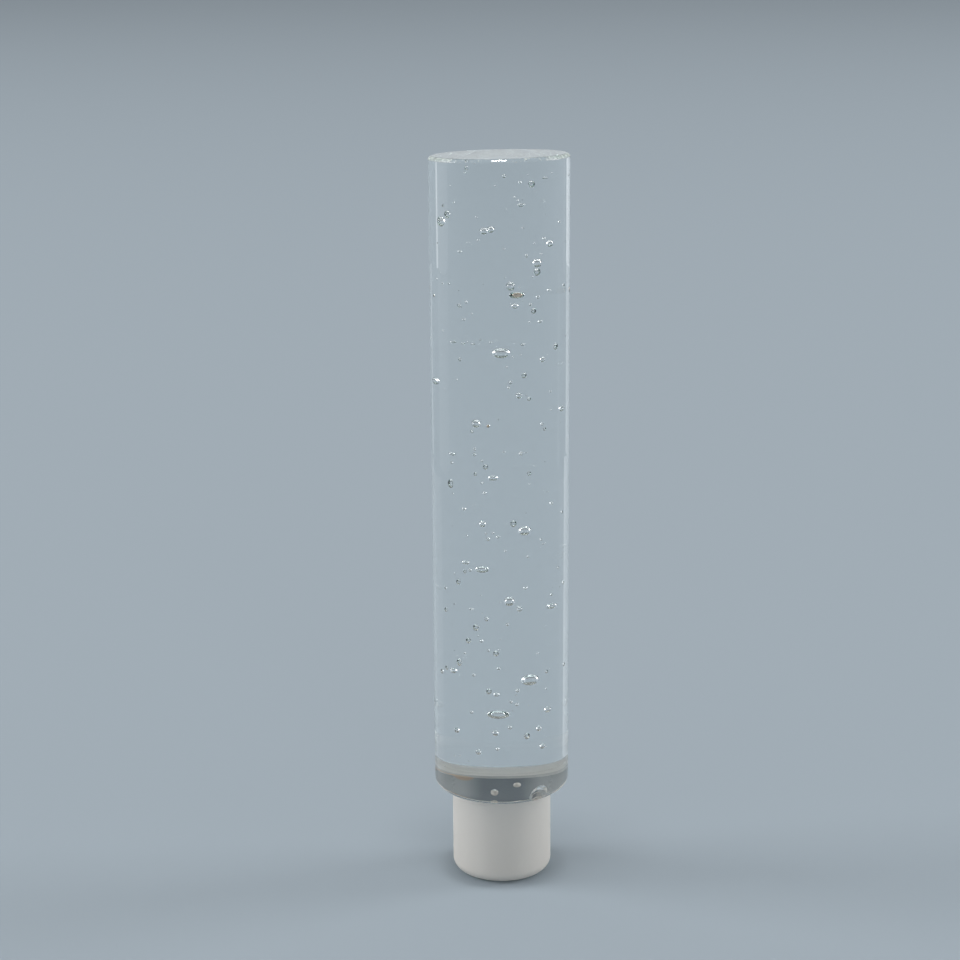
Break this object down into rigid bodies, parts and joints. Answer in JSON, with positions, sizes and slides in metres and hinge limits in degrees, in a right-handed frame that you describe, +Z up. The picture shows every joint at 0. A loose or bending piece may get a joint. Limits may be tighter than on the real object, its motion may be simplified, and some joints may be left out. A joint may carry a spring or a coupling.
{
  "type": "solid glass rod with tenon",
  "caption": "Upright solid clear glass rod full of fine bubbles, with a sawn polished top and a narrower frosted tenon as its foot.",
  "frame": {"origin": "middle of the tenon's flat foot, on the surface the rod stands on", "axes": "+Z up along the rod's axis, -Y towards the front as in the picture, +X to the front's right"},
  "size_m": [0.04, 0.04, 0.2161],
  "materials": {
    "bubble_glass": "clear polished body with bubbles, ground frosted tenon and shoulder face"
  },
  "bodies": {
    "root": {"glass_rod": "bubble_glass"}
  },
  "joints": []
}
